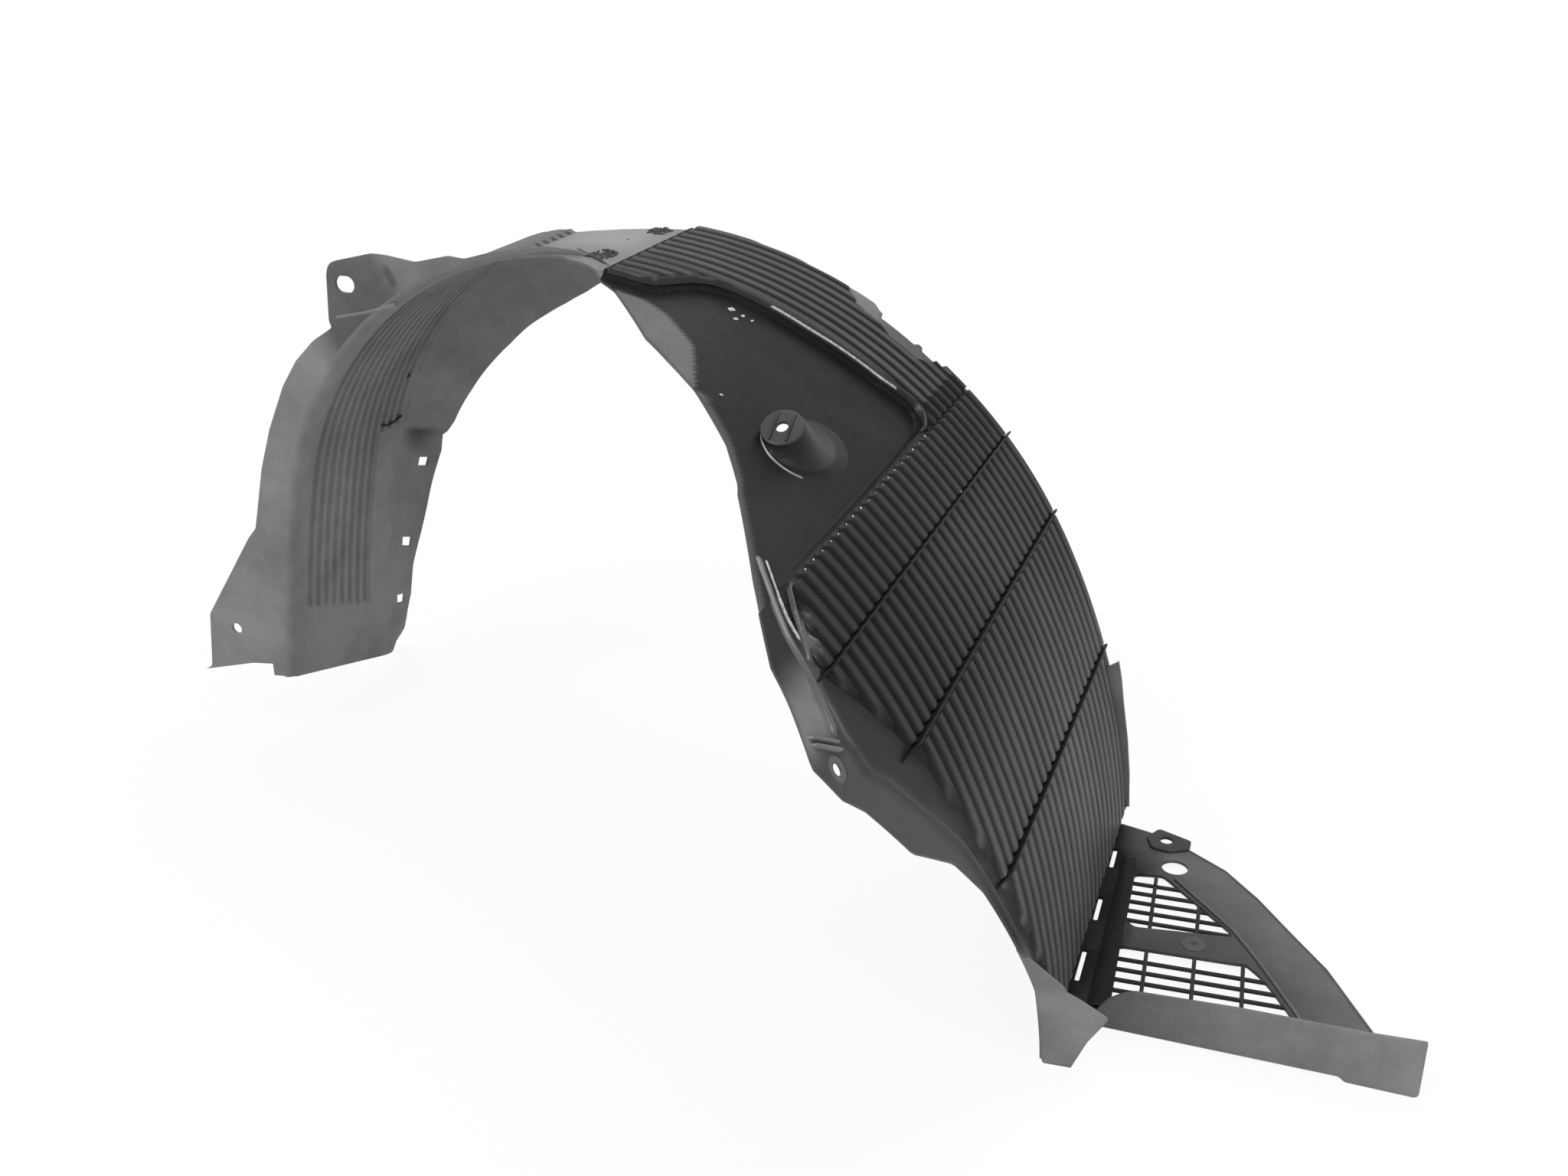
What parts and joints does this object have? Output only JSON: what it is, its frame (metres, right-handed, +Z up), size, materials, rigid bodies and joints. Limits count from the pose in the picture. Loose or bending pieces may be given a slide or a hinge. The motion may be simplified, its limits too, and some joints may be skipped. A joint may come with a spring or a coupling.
{
  "type": "wheel arch liner",
  "caption": "Moulded plastic front wheel arch liner: ribbed arch tread with cross fins, smooth near wall, mounting flanges and a slotted grille panel folded out at the toe.",
  "frame": {"origin": "middle of the part's box from above, on the floor it stands on as pictured", "axes": "+X from the heel leg towards the grille panel, +Y from the flanged near side to the far side, +Z up"},
  "size_m": [0.94, 0.5115, 0.4151],
  "materials": {
    "liner_plastic": "satin near-black moulding, dusty grey on its inner side"
  },
  "bodies": {
    "root": {"liner": "liner_plastic"}
  },
  "joints": []
}
